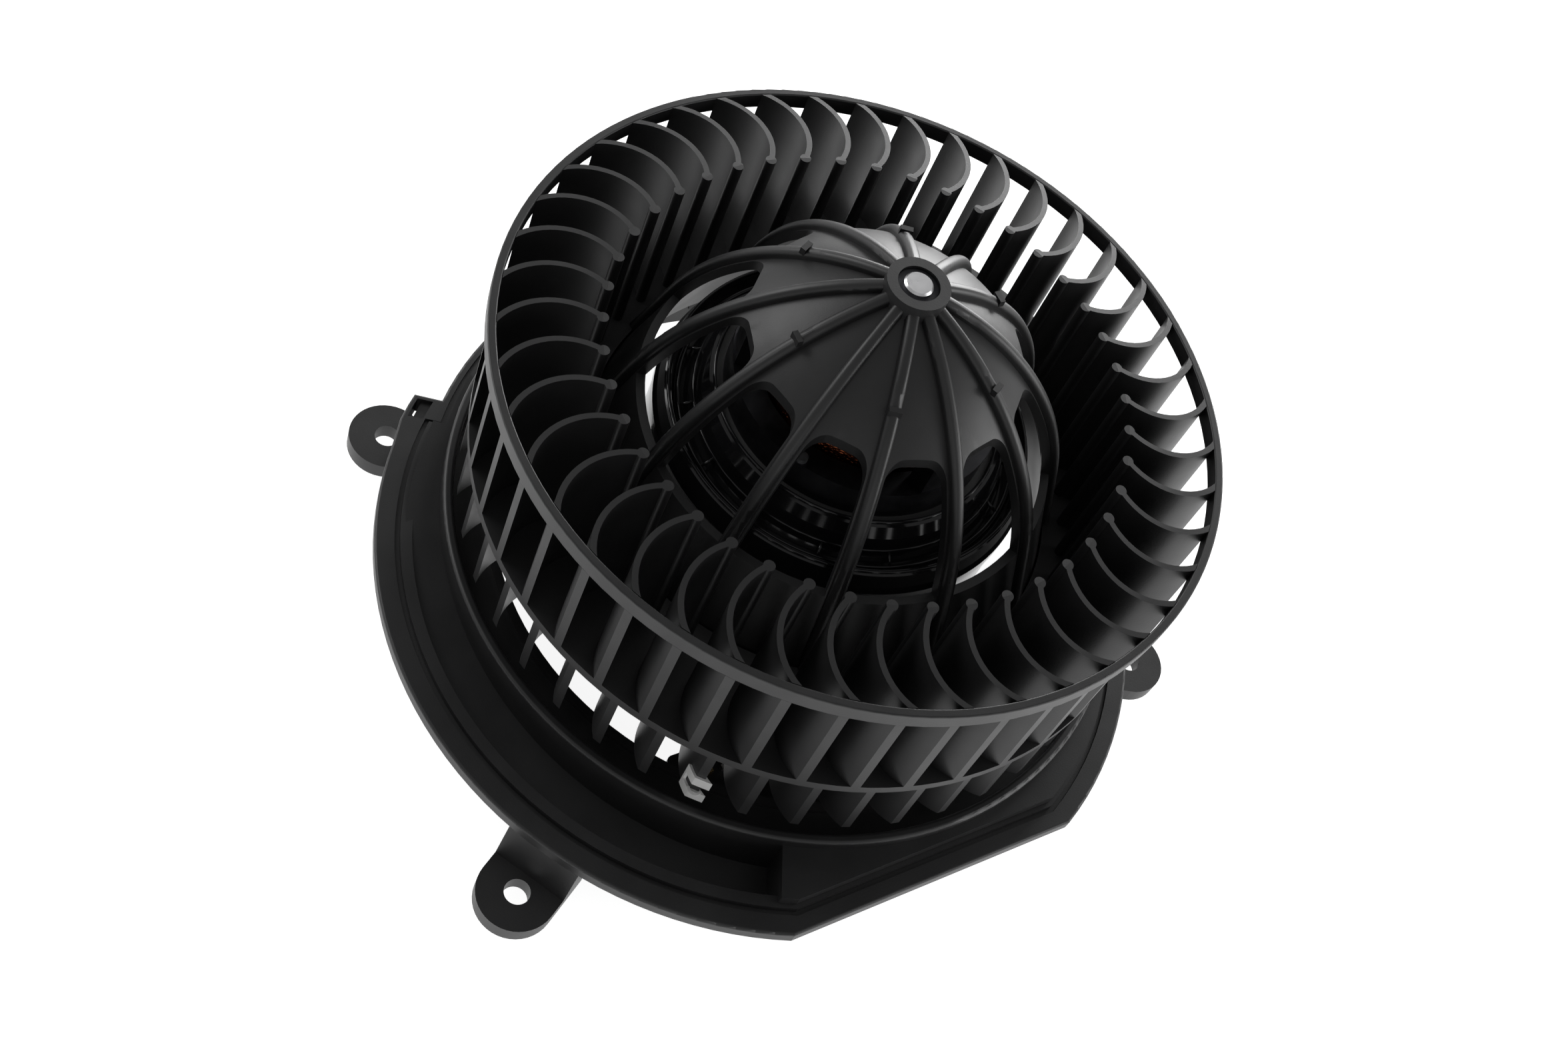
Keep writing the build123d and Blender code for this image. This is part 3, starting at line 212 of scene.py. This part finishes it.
# Darker tone, lighter tone, range of roughness, and stretch, scale, strength and metallic of the marks.
METALS = {
    "shaft_steel": (grey(0.62, 0.63), grey(0.78, 0.79), (0.24, 0.34), (1, 1, 0.05), 900.0, 0.02),
    "yoke_steel": ((0.38, 0.39, 0.40), (0.52, 0.53, 0.54), (0.28, 0.45)),
    "spring_steel": (grey(0.70, 0.69), grey(0.86, 0.85), (0.3, 0.4), (1, 1, 1), 300.0, 0.02, 0.45),
    "dark_steel": (grey(0.03, 0.033), grey(0.06, 0.065), (0.3, 0.5)),
    "core_steel": (grey(0.22, 0.23), grey(0.34, 0.35), (0.35, 0.55), (1, 1, 60), 60),
    "copper": ((0.22, 0.05, 0.02), (0.42, 0.12, 0.05), (0.22, 0.4)),
    "commutator_copper": ((0.6, 0.3, 0.16), (0.8, 0.44, 0.26), (0.2, 0.4), (1, 1, 0.1)),
    "bronze": ((0.42, 0.27, 0.12), (0.6, 0.4, 0.2), (0.4, 0.6)),
    "terminal_brass": ((0.62, 0.45, 0.2), (0.8, 0.6, 0.3), (0.2, 0.35)),
    "tinned": (grey(0.62, 0.61), grey(0.78, 0.77), (0.22, 0.4)),
}


def make_materials():
    """Every material of the record's slots, by name."""
    made = {name: plastic(name, *look) for name, look in PLASTICS.items()}
    made.update({name: metal(name, *look) for name, look in METALS.items()})
    return made


def dress_nodes(made):
    """Gives every CAD node the material of its record slot."""
    slots = {entry["node"]: entry["material_slot"] for entry in frame["record"]["subparts"]}
    for name, node in frame["nodes"].items():
        node.data.materials.clear()
        node.data.materials.append(made[slots[name]])


# ---- pieces


def new_object(name, mesh, slot, body, made):
    """Puts a finished mesh in the scene, on a body, with its slot's material."""
    piece = bpy.data.objects.new(name, mesh)
    bpy.context.scene.collection.objects.link(piece)
    mesh.materials.append(made[slot])
    for polygon in mesh.polygons:
        polygon.use_smooth = True
    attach(piece, body)
    return piece


def tube(bm, path, radius, sides=8, closed=False):
    """Adds a round section swept along a path of points, with flat ends unless it is closed."""
    count = len(path)
    rings = []
    for i, point in enumerate(path):
        before = path[i - 1] if i or closed else path[0]
        after = path[(i + 1) % count] if i < count - 1 or closed else path[-1]
        along = (after - before).normalized()
        side = along.cross(Vector((0, 0, 1)))
        if side.length < 0.05:
            side = along.cross(Vector((1, 0, 0)))
        side.normalize()
        up = side.cross(along)
        ring = []
        for j in range(sides):
            turn = 2 * pi * j / sides
            ring.append(bm.verts.new(point + radius * (side * cos(turn) + up * sin(turn))))
        rings.append(ring)
    for i in range(count if closed else count - 1):
        first, second = rings[i], rings[(i + 1) % count]
        for j in range(sides):
            k = (j + 1) % sides
            bm.faces.new((first[j], first[k], second[k], second[j]))
    if not closed:
        bm.faces.new(rings[0][::-1])
        bm.faces.new(rings[-1])


def finish_mesh(bm, name):
    """Turns the built faces outwards and hands them over as a mesh."""
    bmesh.ops.recalc_face_normals(bm, faces=bm.faces)
    mesh = bpy.data.meshes.new(name)
    bm.to_mesh(mesh)
    bm.free()
    return mesh


def polar(radius, az, z):
    """A point at a radius, azimuth and height."""
    return Vector((radius * cos(radians(az)), radius * sin(radians(az)), z))


def shoulder_beads(made):
    """Fine moulded beads and webs on the holder's shoulder, which carry its thin highlights."""
    name = "holder_shoulder_beads"
    bm = bmesh.new()
    for radius, height, bead in SHOULDER_BEADS:
        path = [polar(radius, 360 * i / SHOULDER_STEPS, height) for i in range(SHOULDER_STEPS)]
        tube(bm, path, bead, closed=True)
    inner, outer = SHOULDER_BEADS[1], SHOULDER_BEADS[2]
    for i in range(SHOULDER_WEBS):
        az = SHOULDER_WEB_AZ + 360 / SHOULDER_WEBS * i
        tube(bm, [polar(inner[0], az, inner[1]), polar(outer[0], az, outer[1])], inner[2])
    new_object(name, finish_mesh(bm, name), "gloss_black", "housing", made)


def bundle_point(travel, radius, height):
    """Radius and rise after a travel up the side of a rounded bundle and over its crest."""
    side = height - BUNDLE_ROUNDING
    turn = (travel - side) / BUNDLE_ROUNDING
    if turn < 0:
        return radius, travel
    if turn < pi / 2:
        return radius - BUNDLE_ROUNDING * (1 - cos(turn)), side + BUNDLE_ROUNDING * sin(turn)
    return radius - BUNDLE_ROUNDING * (1 + turn - pi / 2), height


def coil_path(start_az, end_az, reach, radius, base, height, end):
    """One wire's way from a slot over the end turns to another slot."""
    points = []
    for i in range(COIL_STEPS + 1):
        part = i / COIL_STEPS
        out, rise = bundle_point(reach * sin(pi * part) ** COIL_CLIMB, radius, height)
        points.append(polar(out, start_az + (end_az - start_az) * part, base + end * rise))
    return points


def winding_wires(made):
    """Wound wire over both bundles of end turns, twelve overlapping coils at each end."""
    name = "armature_winding_wires"
    bundle_low, bundle_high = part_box("armature_windings")
    core_low, core_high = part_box("armature_core")
    radius = bundle_high.x + WIRE_R / 2
    pitch = 360 / SLOT_COUNT
    bm = bmesh.new()
    for end, base, crest in ((1, core_high.z, bundle_high.z), (-1, core_low.z, bundle_low.z)):
        height = abs(crest - base) + WIRE_R / 2
        for coil in range(SLOT_COUNT):
            for wire in range(COIL_WIRES):
                start = coil * pitch - wire * WIRE_FAN
                stop = (coil + COIL_SPAN) * pitch + wire * WIRE_FAN
                reach = COIL_REACH + wire * WIRE_STEP
                tube(bm, coil_path(start, stop, reach, radius, base, height, end), WIRE_R, 6)
    new_object(name, finish_mesh(bm, name), "copper", "rotor", made)


def choke_windings(made):
    """Close turns of enamelled wire that stand for each choke's plain sleeve."""
    for name in ("choke_coil_front", "choke_coil_back"):
        low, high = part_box(name)
        middle = (low + high) / 2
        wire = (high.x - low.x) / (CHOKE_TURNS + 1) / 2
        radius = (high.z - low.z) / 2 - wire
        steps = CHOKE_TURNS * CHOKE_STEPS
        path = []
        for i in range(steps + 1):
            turn = 2 * pi * i / CHOKE_STEPS
            x = low.x + wire + (high.x - low.x - 2 * wire) * i / steps
            path.append(Vector((x, middle.y + radius * cos(turn), middle.z + radius * sin(turn))))
        bm = bmesh.new()
        tube(bm, path, wire * CHOKE_WIRE_FIT)
        piece = new_object(name + "_wire", finish_mesh(bm, name + "_wire"), "copper", "housing", made)
        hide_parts(name)


# ---- stage


def add_floor():
    """A wide pale floor, a hair below the end cap's flat bottom, that glows like a lit sweep."""
    bpy.ops.mesh.primitive_plane_add(size=FLOOR_SIZE, location=(0, 0, -FLOOR_DROP))
    floor = bpy.context.object
    floor.name = "floor"
    shade = Shade("floor_pale")
    glow = {"Emission_Color": WHITE, "Emission_Strength": FLOOR_GLOW}
    floor.data.materials.append(shade.surface(Base_Color=FLOOR_COLOUR, Roughness=0.9, **glow))


def add_light(name, place, aim, size, watts):
    """One rectangular soft box aimed at a point."""
    data = bpy.data.lights.new(name, "AREA")
    data.shape = "RECTANGLE"
    data.size, data.size_y = size
    data.energy = watts
    light = bpy.data.objects.new(name, data)
    bpy.context.scene.collection.objects.link(light)
    light.location = place
    light.rotation_euler = (Vector(aim) - Vector(place)).to_track_quat("-Z", "Y").to_euler()


def add_studio():
    """A dim even sky, the plain view transform and the soft boxes."""
    world = bpy.data.worlds.new("studio")
    bpy.context.scene.world = world
    world.use_nodes = True
    background = world.node_tree.nodes["Background"]
    background.inputs["Color"].default_value = WHITE
    background.inputs["Strength"].default_value = SKY
    bpy.context.scene.view_settings.view_transform = "Standard"
    for settings in SOFT_BOXES:
        add_light(*settings)


def add_camera():
    """The still camera, aimed and then rolled about its own axis."""
    data = bpy.data.cameras.new("camera")
    data.lens = CAMERA_LENS
    data.sensor_width = CAMERA_SENSOR
    camera = bpy.data.objects.new("camera", data)
    bpy.context.scene.collection.objects.link(camera)
    turn = (CAMERA_AIM - CAMERA_AT).to_track_quat("-Z", "Y").to_matrix().to_4x4()
    roll = Matrix.Rotation(radians(CAMERA_ROLL), 4, "Z")
    camera.matrix_world = Matrix.Translation(CAMERA_AT) @ turn @ roll
    bpy.context.scene.camera = camera


add_camera()
add_floor()
add_studio()
materials = make_materials()
dress_nodes(materials)
shoulder_beads(materials)
winding_wires(materials)
choke_windings(materials)
